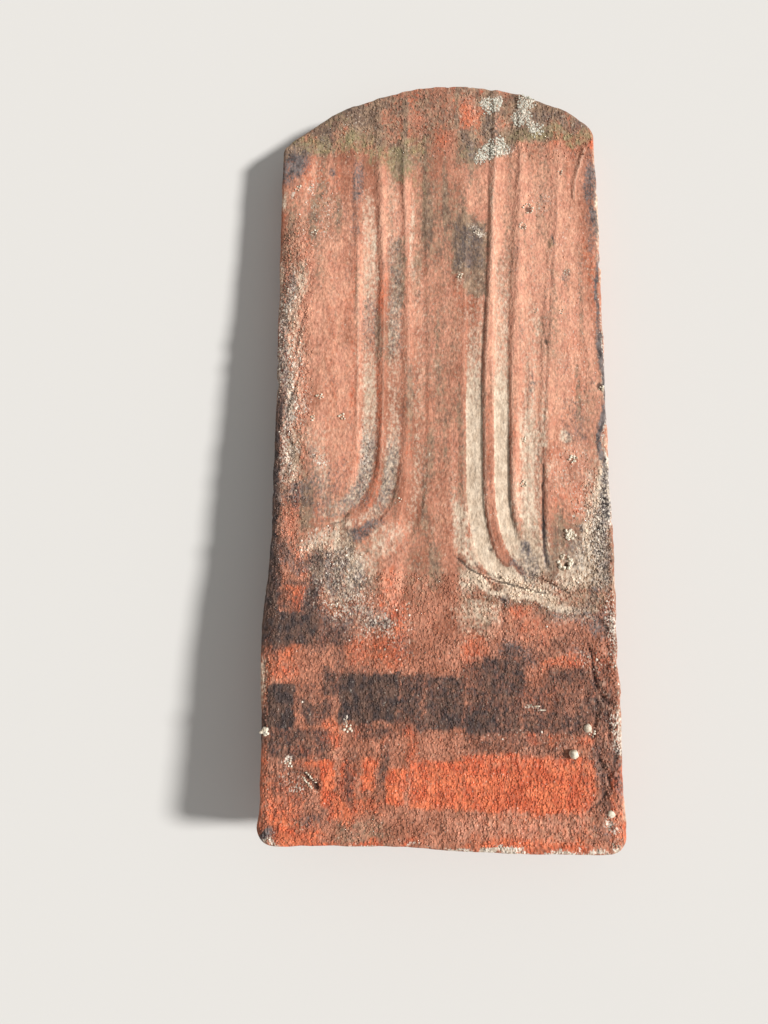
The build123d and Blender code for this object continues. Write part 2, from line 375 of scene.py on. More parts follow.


# How far the face stands above or below flat, and where the strokes' floors, crests, steps and cracks are,
# with painted shade on the steps' walls and painted highlight beside them
def faceForm(x, y):
    x, y = asRead(x, y)
    place = placed(x, y)
    hollow = np.clip(1 - (x / 19) ** 2, 0, 1) * smooth(192, 70, y) * smooth(-104, -60, y)
    height = -pressing["hollow"] * hollow
    for high, px, rx, py, ry in swells:
        height += high * np.exp(-((x - px) / rx) ** 2 - ((y - py) / ry) ** 2)
    for region in relief:
        share = within(region, x, y)
        for high, cell, seed, *lean in region["layers"]:
            leaning = place @ np.array(lean[0]).T if lean else place
            height += high * share * unevenness(leaning, cell, seed)
    height += sandiness(x, y) * layered("sand", place)
    height -= 1.8 * smooth(-74.5, -81, x) * smooth(150, 90, y)  # the left edge is rubbed low

    floors, grey, stepShade, crestHighlight, crack = np.zeros((5, len(x)))
    waver = layered("waver", place)
    for stroke in strokes:
        side, along = followPath(stroke["path"], x, y, pressing["strokeReach"])
        half = stroke["half"][0] + (stroke["half"][1] - stroke["half"][0]) * smooth(0.1, 0.6, along)
        t = np.abs(side + waver) / half
        fade = smooth(1.0, 0.86, along) * (0.55 + 0.45 * smooth(0.0, 0.25, along))
        # a flat floor toward the hook, and a steeper wall on the +X side, where the clay was pushed up
        steepness = np.maximum(2 + 2.5 * smooth(0.2, 0.5, along), 2 + 3 * smooth(-1, 1, side))
        dip = 1 - np.clip(t, 0, 1) ** steepness
        height -= stroke["deep"] * dip * fade * (1 + 0.15 * unevenness(place, (5, 16, 5), 18))
        bed = smooth(0.98, 0.98 - stroke["soft"], t)
        floors = np.maximum(floors, bed * np.interp(along, *zip(*stroke["silt"])))
        if "slate" in stroke:
            grey = np.maximum(grey, bed * np.interp(along, *zip(*stroke["slate"])))
    for path, high, wide in steps:
        side, along = followPath(path, x, y, pressing["stepReach"])
        side = side + waver
        fade = smooth(0.0, 0.12, along) * smooth(1.0, 0.85, along)
        sharp = np.tanh(side / (0.4 * wide)) * np.exp(-np.abs(side) / np.where(side < 0, 2.8, 2.4))
        height += 0.75 * high * fade * sharp
        # painted shade on the steep wall just -X of each step, which faces away from the key light
        stepShade = np.maximum(stepShade, np.exp(-((side + 0.2) / (0.5 * wide)) ** 2) * fade * abs(high))
        # painted highlight on the slope just +X of each step, which faces the key light
        crestHighlight = np.maximum(crestHighlight, np.exp(-((side - 1.9) / 1.5) ** 2) * fade * abs(high))
    ragged = layered("ragged", place)
    for path, deep, wide in scores:
        side, along = followPath(path, x, y, pressing["scoreReach"])
        fade = smooth(0.0, 0.12, along) * smooth(1.0, 0.88, along)
        cut = np.exp(-((side + ragged) / wide) ** 2) * fade
        height -= deep * cut
        crack = np.maximum(crack, cut * np.clip(deep, 0, 1))
    for px, py, rx, ry, deep in pits:
        away = np.hypot((x - px) / rx, (y - py) / ry)
        cut = np.exp(-away**3)
        rim = np.exp(-((away - 1.35) / 0.3) ** 2)
        height += deep * (0.18 * rim - cut)
        crack = np.maximum(crack, cut * deep)
    return height, {"floors": floors, "grey": grey, "crestHighlight": crestHighlight, "step": stepShade, "crack": crack}


nib = {
    "width": 60.0,
    "length": 20.0,
    "depth": 18.0,
    "fromHead": 10.0,
    "seatDraft": 3.0,
    "backDraft": 18.0,
    "sideDraft": 14.0,
    "edge": 4.0,
    "root": 3.0,
    "rings": 9,
}


# A rounded rectangle's point, for a and b from -1 to 1 across and along
def roundedPlace(a, b, low, high, radius):
    halfX, halfY = [(high[i] - low[i]) / 2 for i in (0, 1)]
    x, y = roundCorners(a * halfX, b * halfY, halfX, halfY, radius)
    return x + (low[0] + high[0]) / 2, y + (low[1] + high[1]) / 2


# The indices round the edge of a grid, anticlockwise from its -X, head corner
def loopOf(grid):
    return np.concatenate([grid[0, :-1], grid[:-1, -1], grid[-1, :0:-1], grid[:0:-1, 0]])


wear = {
    "drop": 1.9,  # mm, how far the worn edge of the face falls
    "chip": 2.0,  # and how much more where it is chipped
    "limits": (0.8, 5),
    "bite": 0.9,  # mm, how far in a chip goes
    "batter": 0.5,  # mm, how far the walls draw in toward the back
    "faceTurns": (24, 48, 70, 90),  # degrees, where the rings round each edge lie
    "backTurns": (30, 60, 90),
}


def makeTileMesh():
    points = []
    quads = []
    count = 0

    def add(x, y, z):
        nonlocal count
        points.append(placed(x, y, z))
        count += len(x)
        return np.arange(count - len(x), count)

    def fill(grid):
        cells = np.stack([grid[:-1, :-1], grid[:-1, 1:], grid[1:, 1:], grid[1:, :-1]], -1)
        quads.append(cells.reshape(-1, 4))

    def bridge(outer, inner):
        quads.append(np.stack([outer, np.roll(outer, -1), np.roll(inner, -1), inner], 1))

    def addRing(x, y, z):
        nonlocal last
        ring = add(x, y, z)
        bridge(ring, last)
        last = ring

    across, along = slab["cellsAcross"], slab["cellsAlong"]
    rows = rowPlaces()
    t, s = np.meshgrid(rows, np.linspace(-1, 1, across + 1), indexing="ij")
    x, y = planPlace(s.ravel(), t.ravel(), slab["faceArris"])
    height, found = faceForm(x, y)
    grid = add(x, y, slab["thickness"] + height).reshape(along + 1, across + 1)
    fill(grid)
    rim = loopOf(grid)
    s, t = s.ravel()[rim], t.ravel()[rim]

    # The worn edge of the face: it drops more where it is chipped or rubbed
    edgePlace = placed(*planPlace(s, t, 0))
    chipping = unevenness(edgePlace, 6, 22)
    drop = wear["drop"] + layered("edgeDrop", edgePlace) + wear["chip"] * smooth(0.62, 0.95, chipping)
    drop = np.clip(drop, *wear["limits"])
    bite = wear["bite"] * smooth(0.5, 0.95, chipping)
    level = slab["thickness"] + height[rim]
    last = rim
    for turn in wear["faceTurns"]:
        out, down = math.sin(math.radians(turn)), 1 - math.cos(math.radians(turn))
        x, y = planPlace(s, t, slab["faceArris"] * (1 - out) + bite * out)
        addRing(x, y, level - drop * down + layered("edgeGrain", placed(x, y, turn)))
    top = level - drop
    foot = slab["backArris"] + layered("foot", edgePlace)
    batter = wear["batter"]
    for part in np.arange(1, slab["wallRings"] + 1) / slab["wallRings"]:
        z = top + (foot - top) * part
        inset = layered("wall", placed(edgePlace[:, 0], edgePlace[:, 1], z))
        inset += bite * (1 - part) ** 2 + batter * part**3 + 0.15
        x, y = planPlace(s, t, np.clip(inset, -0.5, 3))
        addRing(x, y, z)
    for turn in wear["backTurns"]:
        inset = batter + (slab["backArris"] - batter) * (1 - math.cos(math.radians(turn)))
        x, y = planPlace(s, t, inset)
        flat = turn == 90
        addRing(x, y, layered("back", placed(x, y)) if flat else foot * (1 - math.sin(math.radians(turn))))

    # The back has cells twice as large, so every second point of the last ring is dropped
    bt, bs = np.meshgrid(rows[::2], np.linspace(-1, 1, across // 2 + 1), indexing="ij")
    x, y = planPlace(bs.ravel(), bt.ravel(), slab["backArris"] + 1.4)
    back = add(x, y, layered("back", placed(x, y))).reshape(along // 2 + 1, across // 2 + 1)
    inner = loopOf(back)
    nextInner = np.roll(inner, -1)
    even, odd, after = last[0::2], last[1::2], np.roll(last, -2)[0::2]
    corners = [(even, inner, odd), (odd, inner, nextInner), (odd, nextInner, after)]
    triangles = np.vstack([np.stack(three, 1) for three in corners])

    # The nib grows out of a hole left in the back's cells
    nibLow = (-nib["width"] / 2, -slab["length"] / 2 + nib["fromHead"])
    nibHigh = (nib["width"] / 2, nibLow[1] + nib["length"])
    clearRow, clearColumn = 8, 60  # a row and a column of the back that the rounded corners leave straight
    backX = x.reshape(back.shape)[clearRow]
    backY = y.reshape(back.shape)[:, clearColumn]
    c0, r0 = [int(np.searchsorted(line, low - nib["root"])) - 1 for line, low in zip((backX, backY), nibLow)]
    c1, r1 = [int(np.searchsorted(line, high + nib["root"])) for line, high in zip((backX, backY), nibHigh)]
    keep = np.ones((back.shape[0] - 1, back.shape[1] - 1), bool)
    keep[r0:r1, c0:c1] = False
    cells = np.stack([back[:-1, :-1], back[1:, :-1], back[1:, 1:], back[:-1, 1:]], -1)
    quads.append(cells[keep])
    b, a = np.meshgrid(np.linspace(-1, 1, r1 - r0 + 1), np.linspace(-1, 1, c1 - c0 + 1), indexing="ij")
    loop = loopOf(np.arange(a.size).reshape(a.shape))
    a, b = a.ravel(), b.ravel()
    last = loopOf(back[r0:r1 + 1, c0:c1 + 1])
    seat, rear, flank = [math.tan(math.radians(nib[d])) for d in ("seatDraft", "backDraft", "sideDraft")]

    def nibRing(depth, out):
        low = (nibLow[0] + flank * depth - out, nibLow[1] + rear * depth - out)
        high = (nibHigh[0] - flank * depth + out, nibHigh[1] - seat * depth + out)
        x, y = roundedPlace(a, b, low, high, nib["edge"] + 1 + max(out, 0))
        grain = layered("nib", placed(x, y, -depth))
        return x + grain * np.sign(x), y + grain * np.sign(y - (nibLow[1] + nibHigh[1]) / 2)

    # Rings down the nib, each its depth below the back and how far out it stands: fillet, sides, rounded edge
    root, edge = nib["root"], nib["edge"]
    profile = [(root * (1 - math.cos(w)), root * (1 - math.sin(w))) for w in (0.35, 0.8, 1.2, 1.57)]
    profile += [(depth, 0.0) for depth in np.linspace(root, nib["depth"] - edge, nib["rings"])[1:]]
    profile += [(nib["depth"] - edge * (1 - math.sin(w)), -edge * (1 - math.cos(w))) for w in (0.4, 0.8, 1.2)]
    for depth, out in profile:
        x, y = nibRing(depth, out)
        addRing(x[loop], y[loop], -depth)
    x, y = nibRing(nib["depth"], -edge)
    cap = add(x, y, 0.2 - nib["depth"] + layered("nibEnd", placed(x, y)))
    cap = cap.reshape(r1 - r0 + 1, c1 - c0 + 1)
    bridge(loopOf(cap), last)
    fill(cap.T)

    found["grid"] = grid
    return np.vstack(points), np.vstack(quads), triangles, found


points, quads, triangles, marks = makeTileMesh()

# Where each weathering lies on the face: middle, half width across and along in mm, and how much of the
# clay it covers at the middle. A sixth number leans the patch, in degrees anticlockwise.
weather = {
    # clay still as bright as it was fired
    "ember": [
        (14.5, 170, 5.5, 9, 0.47), (-17.5, 158, 3.5, 5.5, 0.85), (-32.6, 164, 2.4, 5, 0.6),
        (-27, 163, 4, 5, 0.3), (-19.7, 177.8, 8, 3.5, 0.62), (33, 168.4, 3.4, 2.6, 0.75),
        (-46, 157, 5, 2, 0.4), (77.8, 153.2, 2, 3.4, 1), (70, 172, 5, 4, 0.35), (-34, 176, 4, 5, 0.4),
        (62, 158, 4, 6, 0.4), (-24, 172, 4, 3, 0.2), (-57, 170, 4, 4, 0.4), (-50, 168, 12, 8, 0.3),
        (-40, 163, 3, 4, 0.4), (-50, 16, 8, 24, 0.35), (-52, 60, 6, 40, 0.3), (-62, 128, 12, 10, 0.45),
        (-66, 112, 10, 20, 0.4), (-46, -18, 8, 16, 0.35), (-28.5, 78, 2, 13, 0.5),
        (-28.6, 12, 1.6, 30, 0.4), (22.8, 0, 1.8, 52, 0.25), (35.3, -12, 1.4, 50, 0.3),
        (42.4, -16, 1.2, 44, 0.35), (60, -36, 7, 9, 0.62), (55, -12, 5, 10, 0.5), (63, 38, 10, 22, 0.42),
        (58, 6, 9, 4, 0.45), (-68, -44, 8, 9, 0.24), (-58, -40, 10, 5, 0.4), (-19, -92, 4, 12, 0.45),
        (-62, -58, 6, 3, 0.6), (-50.4, -57, 1.8, 3.4, 0.8, -15), (-60, -65, 6, 2.4, 0.55, 30),
        (-26, -106, 14, 7, 0.42), (-38, -104, 6, 6, 0.35), (-70, -110, 9, 8, 0.5), (-76, -106, 4, 8, 0.4),
        (14, -103, 6, 7, 0.5), (40, -92, 12, 6, 0.4), (34.5, -84.6, 6, 4.4, 0.6), (54, -108, 12, 4, 0.45),
        (72, -112, 7, 14, 0.3), (44, -123, 12, 4, 0.3), (-41, -160, 5, 10, 0.72), (-69, -168, 10, 12, 0.5),
        (-43, -171, 6, 4, 0.85, -20), (-26, -145, 3, 6, 0.3), (-14, -144, 3, 10, 0.5),
        (-36, -170, 12, 4, 0.5), (-64, -178, 15, 7, 0.62), (-58, -184.7, 18, 2.5, 0.7),
        (-26, -185.7, 16, 2, 0.85), (40, -185.2, 34, 2.2, 0.6), (-77.8, -160, 2, 25, 0.4),
        (44, -178, 32, 7, 0.36), (76, -165, 3, 16, 0.7), (-60, -150, 8, 5, 0.3),
    ],
    # clay paled and pinked by sun and rain
    "bleach": [
        (52, 70, 20, 90, 0.85), (64, 20, 14, 60, 0.7), (30, 85, 12, 75, 0.8), (58, -20, 12, 34, 0.55),
        (38, 0, 7, 60, 0.6), (-56, 70, 14, 70, 0.62), (-38, 60, 7, 62, 0.55), (-27, 112, 7, 34, 0.72),
        (-52, -8, 14, 36, 0.58), (-14, 96, 8, 56, 0.5), (18, 120, 8, 26, 0.62), (-58, -58, 18, 16, 0.3),
        (-36, -68, 7, 10, 0.6), (-22, -73, 6, 14, 0.62), (-20, -56, 8, 14, 0.45), (24, -92, 18, 9, 0.45),
        (0, 20, 12, 100, 0.4), (-72, 108, 8, 22, 0.45), (-62, 128, 12, 10, 0.45), (62, 140, 12, 16, 0.5),
        (40, -150, 30, 4, 0.2), (-16, -162, 3, 9, 0.2), (58, -176, 14, 6, 0.25), (36, -178, 34, 6, 0.45),
        (40, -92, 16, 8, 0.3), (76.5, -168, 3, 14, 0.5), (-38, -14, 1.8, 10, 0.8),
        (-41.4, -26, 2.2, 9, 0.8, -22), (-46, -35, 5, 2.4, 0.8, 38), (-36.5, -60, 6, 8, 0.5),
        (23.2, -16, 2.4, 46, 0.3),
    ],
    # grey-brown film of dust and dead growth at the exposed tail
    "film": [
        (-54, 168, 24, 12, 0.95), (-36, 158, 30, 9, 0.62), (-40, 172, 10, 8, 0.7), (-16, 176, 14, 10, 0.62),
        (-30, 178, 10, 6, 0.8), (-12, 150, 12, 12, 0.62), (2, 172, 12, 18, 0.55), (15, 152, 9, 14, 0.9),
        (13, 98, 11, 14, 1), (16, 128, 7, 16, 0.3), (34, 174, 14, 12, 0.62), (56, 172, 15, 11, 0.72),
        (71, 168, 12, 10, 0.62), (44, 187, 30, 4, 0.6), (10, 187, 14, 4, 0.55), (-35, 184, 10, 4, 0.65),
        (31, 159, 9, 5, 0.72), (47, 161, 17, 6, 0.95), (33, 157, 6, 8, 0.9), (24.6, 165, 4.6, 8, 0.95),
        (-72, 150, 12, 6.5, 0.85), (-22, 158, 9, 12, 0.62), (0, 110, 14, 34, 0.5), (0, 30, 10, 70, 0.35),
        (-26, 46, 7, 15, 0.45), (-10, 10, 7, 50, 0.3), (-8, -60, 9, 30, 0.35), (-33, -183, 13, 4.5, 0.42),
        (-26, -178, 8, 5, 0.3), (60, -178, 14, 7, 0.25), (-58, -175, 8, 3, 0.4), (-46, -54, 14, 5, 0.45),
        (-34, -16, 4, 18, 0.4), (-23.5, -20, 3.4, 18, 0.5), (26, 179, 7, 7, 0.8), (45, 176, 9, 12, 0.8),
        (27, 154, 9, 8, 0.7), (66, -62, 18, 20, 0.72), (40, -78, 26, 7, 0.62, -6), (62, -80, 18, 6, 0.6),
        (16, -88, 8, 12, 0.55), (-44, -66, 20, 18, 0.55), (-62, -30, 14, 30, 0.35), (71, 0, 6, 40, 0.35),
        (-74, 80, 6, 40, 0.4), (41, -54, 8, 14, 0.6), (-60, 112, 14, 18, 0.34),
    ],
    "algae": [
        (-62, 153, 14, 7, 0.55), (-46, 152, 14, 7, 0.5), (-20, 143, 12, 9, 0.5), (-33, 147, 8, 6, 0.45),
        (-73, 158, 7, 7, 0.4), (46, 158, 13, 3.5, 0.5), (62, 160, 14, 3.5, 0.5), (72, 158, 6, 5, 0.5),
        (14, 150, 6, 8, 0.3), (-12, 152, 8, 8, 0.4), (-54, 165, 9, 5, 0.35), (14, 98, 5, 9, 0.3),
        (55, 98, 2, 5, 0.5), (-10, 128, 5, 8, 0.25),
    ],
    # pale silt washed into the strokes and over the hooks
    "silt": [
        (38.4, -22, 2, 36, 0.5), (46, -18, 2.2, 36, 0.45), (37.4, -71.6, 14, 2.6, 0.85, -17),
        (15.8, -71, 8, 4, 0.85, -28), (9.6, -50, 4, 16, 0.6), (11, -74, 5, 6, 0.7), (14, -61, 5, 7, 0.66),
        (17, -86, 10, 7, 0.46), (61, -84, 14, 5, 0.34), (33.5, -77, 14, 2.8, 0.8, -7),
        (55, -80.6, 12, 2.8, 0.62, -12), (45, -60, 3, 8, 0.5), (66, -64, 14, 12, 0.52),
        (77, -32, 8, 38, 0.5, -16), (60, 0, 4, 2.5, 0.6), (52, -16, 3, 3, 0.4), (68, -26, 3, 4, 0.4),
        (-56, -53, 12, 5, 0.42, 18), (-24, -54, 7, 10, 0.42), (-46, -45, 8, 2.4, 0.4, 12),
        (-44, -62, 16, 14, 0.42), (10, 80, 1.2, 6, 0.4), (-58, -12, 5, 18, 0.3), (-46, -74, 12, 9, 0.42),
        (-36, -88, 16, 8, 0.34), (13, -90, 9, 12, 0.34), (-33.5, 88, 2, 24, 0.4),
        (-13.5, 100, 1.6, 30, 0.4), (70, -50, 4, 20, 0.35), (42, -30, 7, 22, 0.42), (43, -56, 8, 10, 0.6),
        (62, -72, 12, 10, 0.3), (18, 104, 3, 5, 0.3), (-72, 40, 6, 50, 0.42), (-71, -14, 4, 26, 0.36),
        (-58, -8, 6, 16, 0.3), (48, 30, 2, 40, 0.2), (26.5, 100, 1.6, 60, 0.3),
    ],
    # blue-grey where soot and fine black growth sit in the sand
    "slate": [
        (-74.4, 138.4, 9, 9, 0.82), (-75, 149, 7, 5, 0.34), (26, 165, 4, 7, 0.34),
        (-54, 134.5, 1.8, 2, 0.7), (-50, 170, 12, 6, 0.22), (-43, 132, 2.6, 14, 0.6),
        (-58, 158, 4, 5, 0.35), (-43.4, 106, 1.6, 14, 0.3), (76.2, 134, 3.6, 12, 0.64),
        (77.2, 112, 2, 14, 0.66), (77.4, 74, 0.9, 20, 0.8), (77, 34, 2, 26, 0.9), (76.6, -4, 2, 22, 0.8),
        (74.6, 102, 2.6, 14, 0.4), (77.3, 152, 2, 6, 0.3), (56, 168, 12, 4, 0.35), (30, 166, 2, 12, 0.4),
        (72, 166, 5, 4, 0.35), (13, 96, 7, 12, 0.5), (15, 152, 5, 8, 0.4), (42.6, 24, 1.4, 7, 0.5),
        (-76.5, 40, 5, 40, 0.55), (-74, 0, 5, 34, 0.42), (-77.4, -25, 3, 38, 1), (-68, -34, 5, 6, 0.5),
        (-60, -12, 3, 6, 0.35), (-56, -30, 10, 13, 0.3), (-47, -20, 4, 10, 0.3), (-38, -31, 4, 5, 0.4, 40),
        (-35.5, -47.6, 10, 3.6, 0.72, 22), (-29.6, -45.8, 3, 2.2, 0.6, 30), (65.5, -48.3, 2, 1.6, 0.6),
        (-76, -62, 3, 10, 0.6), (-64, -63, 10, 5, 0.5), (-58, -80, 4, 10, 0.62), (-48, -90, 9, 6, 0.5),
        (-42, -77, 6, 6, 0.4), (-28, -92, 6, 4, 0.6), (-46, -70, 14, 12, 0.52), (-34, -86, 14, 6, 0.44),
        (-18, -102, 5, 6, 0.3), (77, -34, 3, 18, 0.8), (75, -56, 5, 20, 0.55), (62, -58, 6, 6, 0.45),
        (35.6, -65.6, 6, 2.6, 0.66, -25), (39, -54.4, 2, 3.6, 0.7), (48.6, -52, 1.4, 12, 0.7),
        (27.8, -79, 2, 2.4, 0.5), (58, -84, 16, 4, 0.4), (75, -92, 5, 8, 0.5), (-78, -184.7, 6, 2.6, 0.95),
        (-56, -172, 6, 2.6, 0.4), (76, -150, 3, 12, 0.5), (69, -150, 3, 14, 0.35), (70, -179, 6, 3, 0.35),
        (34, -103, 11, 5, 0.52), (62, -105, 8, 3, 0.4), (41, -62, 6, 7, 0.42), (68, -89, 9, 5, 0.5, -35),
        (-74, -133, 3, 5, 0.6), (56.8, 101, 1.2, 4, 0.55), (66, 6, 6, 12, 0.3), (52, 125, 4, 6, 0.25),
        (62.5, 82, 2.4, 1.6, 0.45), (71, -75, 6, 8, 0.4),
    ],
    # smoked black-brown in the kiln, or since; along the left edge, at x about -78, partly painted shade of
    # the arris turned away from the key light
    "soot": [
        (-78, -84, 5, 22, 0.95), (-67, -81, 7, 8, 0.46), (-52, 168, 18, 10, 0.42), (-28, 178, 12, 6, 0.24),
        (-20, 143, 11, 8, 0.22), (-78, -24, 3.4, 40, 1.5), (-78.8, 30, 2, 30, 0.5), (-66, -94, 13, 8, 1.05),
        (-58, -86, 4, 8, 0.8), (-50, -97, 14, 5, 0.7), (-40, -93, 10, 4, 0.4), (-76, -84, 4, 8, 1),
        (-67, -92.6, 12, 6, 1.05), (-57.4, -82, 3, 9, 0.8), (-57, -66, 3, 5, 0.6), (-46, -106, 3, 8, 0.4),
        (-57, -129, 10, 6, 0.66), (-57, -119, 8, 6, 0.4), (20, -116, 14, 8, 0.6), (46, -124, 16, 9, 0.56),
        (60, -127, 9, 12, 0.45), (30, -105, 9, 4, 0.5), (-66, -160, 12, 10, 0.4), (-30, -139, 10, 4, 0.55),
        (-40, -158, 3.6, 14, 0.5), (-25, -152, 2.6, 12, 0.5), (-12, -136, 8, 6, 0.62),
        (70, -124, 8, 16, 0.6), (-78.8, -138, 2, 12, 0.8), (34, -142, 26, 4, 0.42),
        (70.4, -160, 3, 15, 0.5), (-44, -168, 5, 8, 0.3), (-56, -172, 10, 4, 0.3), (56, -118, 14, 8, 0.4),
        (-73, -58, 5, 6, 0.62), (-30, -92, 5, 3, 0.5), (52, -98, 18, 6, 0.35), (73, -146, 6, 12, 0.45),
        (76, -105, 4, 20, 0.4), (-42, -112, 12, 3, 0.5), (-74, -48, 4, 12, 0.42), (-64, -30, 5, 8, 0.24),
        (34, -92, 3, 8, 0.3),
    ],
    # white lime and salt grains
    "lime": [
        (-75.5, 50, 4, 30, 0.46, -6), (-71, 36, 3.6, 16, 0.42, 20), (-71, 0, 4, 34, 0.45),
        (-52, -72, 8, 10, 0.3), (-56, -52, 12, 5, 0.3, 20), (-44, -66, 12, 10, 0.36),
        (-44, -82, 14, 8, 0.38), (-30, -96, 12, 7, 0.32), (-16, -96, 4, 16, 0.2),
        (76, -44, 7, 30, 0.5, -14), (69, -64, 9, 12, 0.32), (77, -92, 4, 20, 0.42),
        (77.8, -134, 1.6, 12, 0.6), (76.6, -137, 2.6, 11, 0.55), (78, -183.7, 4, 3, 0.9),
        (62, -187.2, 18, 1.2, 0.8), (74, -174, 3, 2.6, 0.7), (68, -108, 8, 6, 0.22),
        (-65, -158, 6, 4, 0.24), (-67, -153, 2.4, 1.6, 0.6), (78.8, 20, 1, 60, 0.5),
        (78.8, -25, 1, 30, 0.55), (-70, -186.7, 12, 1, 0.6), (-30, -187.2, 30, 1, 0.6),
        (20, -187, 20, 1.2, 0.85), (50, -187, 24, 1.6, 0.8), (68, -40, 8, 20, 0.26),
        (60, -18, 12, 16, 0.16), (-57, -14, 4, 4, 0.42), (-67, 5, 4, 20, 0.3), (41, -129, 4, 1, 0.5, -20),
        (26.6, 177, 5, 4.6, 0.8), (44.6, 178, 4.6, 4.2, 0.7), (42.8, 169.4, 5, 5, 0.8),
        (49.8, 163, 4, 4, 0.55), (28.6, 152.8, 6, 5, 0.8, 20), (22, 147.6, 5, 3, 0.6, 35),
        (36, 152, 4, 1.6, 0.4), (-78.8, 60, 1, 40, 0.4), (18, 104, 4, 3, 0.42), (62, -84, 14, 6, 0.16),
        (46, -71, 16, 4, 0.22), (34, -78, 26, 4, 0.22, -6), (-36, -14, 3, 16, 0.34),
        (-48, 160, 3, 8, 0.22, -30), (78.8, -110, 1, 20, 0.4), (-62, 110, 12, 20, 0.16),
        (60, 60, 16, 60, 0.1), (-66, 127, 2, 2, 0.5), (50, 122, 6, 8, 0.2), (44, -140, 20, 4, 0.1),
        (-28.5, -91, 11, 6, 0.42, -40), (-67, -152.2, 1.6, 1.4, 0.8), (-64.4, -160.6, 3, 2.2, 0.5),
        (-42, -137.4, 1.6, 2.6, 0.5), (-73, 126, 1.2, 1.4, 0.7),
    ],
}

# Patches with straight sides, which smoke and rain reached or missed as a whole: low and high X, low and
# high Y, and how much of the clay they cover. A sixth number draws their sides in toward the head, in mm.
panels = {
    "ember": [
        (-53, -46.4, -170, -150.4, 0.98), (-60, -50, -152.8, -150.4, 0.8),
        (-34.5, -28.1, -163, -149.4, 0.9), (-24.6, -13.8, -168.6, -153.2, 1, 2),
        (-13.8, 9.9, -170, -150, 0.8), (9, 61.6, -171.6, -148, 0.88), (61, 66.4, -170, -149, 0.66),
        (73.4, 79.6, -182, -152, 0.7), (-72.6, -60.4, -88.2, -74.4, 0.58, 4.5),
        (-28.6, -17.7, -89.2, -64.5, 0.72, 2), (-53, -44.3, -145.3, -133.5, 0.55),
        (-37, -34, -139.4, -135.5, 0.75), (37.4, 43.3, -143.3, -136.8, 0.55),
        (46.3, 52.2, -143.3, -138.4, 0.6), (59, 68, -144, -138.8, 0.5, 1), (17.7, 62, -186.4, -181.6, 0.8),
    ],
    "film": [
        (-46.3, -24.6, -183.7, -174.9, 0.5), (6, 23.4, 82, 110, 1.1), (12, 23.2, 69, 83, 0.85),
        (-23.6, -17.6, 62, 99, 0.75),
    ],
    "slate": [
        (6.5, 22.6, 84, 108, 0.44), (-81, -76, -74, -28, 0.6),
    ],
    "soot": [
        (7, 22, 86, 108, 0.36), (-76.4, -65, -137.4, -118.4, 1.3), (-45.3, -19.2, -134.5, -113.4, 1),
        (-53.2, -45, -123.4, -111, 0.75), (-19.2, -8, -132.5, -113.8, 0.8), (-8, 9.9, -137.4, -113.8, 0.85),
        (9.9, 35.5, -139.2, -119, 0.7), (9.9, 24, -139.2, -128, 0.86), (17.7, 37, -123.6, -106, 0.78),
        (35.5, 64.6, -138, -129, 0.68), (47.3, 66, -116.7, -110, 0.62), (-76.8, -49.3, -150.2, -137, 0.66),
        # the strip at x -81 to -75.6 is partly painted shade of the left arris, turned away from the key light
        (10, 58, -148, -139.5, 0.4), (-81, -75.6, -72, -24, 1.05), (-77, -58.4, -102, -87, 1),
        (-58.4, -44, -97.5, -89, 0.55), (-73.4, -60, -75, -72, 0.55),
    ],
}

# Streaks the weather drew down the stroked part of the face: coat, size in mm, how strong
streaking = [
    ("film", (3.4, 30, 6), 0.42),
    ("ember", (4.6, 24, 6), 0.34),
    ("bleach", (4, 40, 6), 0.26),
    ("slate", (2.6, 9, 5), 0.2),
    ("silt", (3, 22, 6), 0.22),
]


def covered(x, y, dabs):
    total = np.zeros(len(x))
    for px, py, rx, ry, strength, *lean in dabs:
        dx, dy = x - px, y - py
        if lean:
            c, d = math.cos(math.radians(lean[0])), math.sin(math.radians(lean[0]))
            dx, dy = dx * c + dy * d, dy * c - dx * d
        reach = (np.abs(dx / rx) ** 3 + np.abs(dy / ry) ** 3) ** (1 / 3)  # a boxy oval
        total = np.maximum(total, strength * (1 - smooth(0.45, 1.4, reach)))
    return total


def panelled(x, y, sheets):
    blur = 1.5  # mm to each side of a border
    total = np.zeros(len(x))
    for x0, x1, y0, y1, strength, *drawIn in sheets:
        drawn = sum(drawIn) * np.clip((y1 - y) / (y1 - y0), 0, 1)
        inside = np.minimum.reduce([x - x0 - drawn, x1 - drawn - x, y - y0, y1 - y])
        total = np.maximum(total, strength * smooth(-blur, blur, inside))
    return total


# How much lower each point of the face lies than the smoothed surface round it, in tenths of a millimetre
def hollowness(grid, height, passes):
    level = height[grid]
    soft = level.copy()
    for _ in range(passes):
        wide = np.pad(soft, ((1, 1), (1, 1)), mode="edge")
        soft = (wide[1:-1, :-2] + wide[1:-1, 2:] + 2 * soft + wide[:-2, 1:-1] + wide[2:, 1:-1]) / 6
    return (soft - level).ravel() * 10
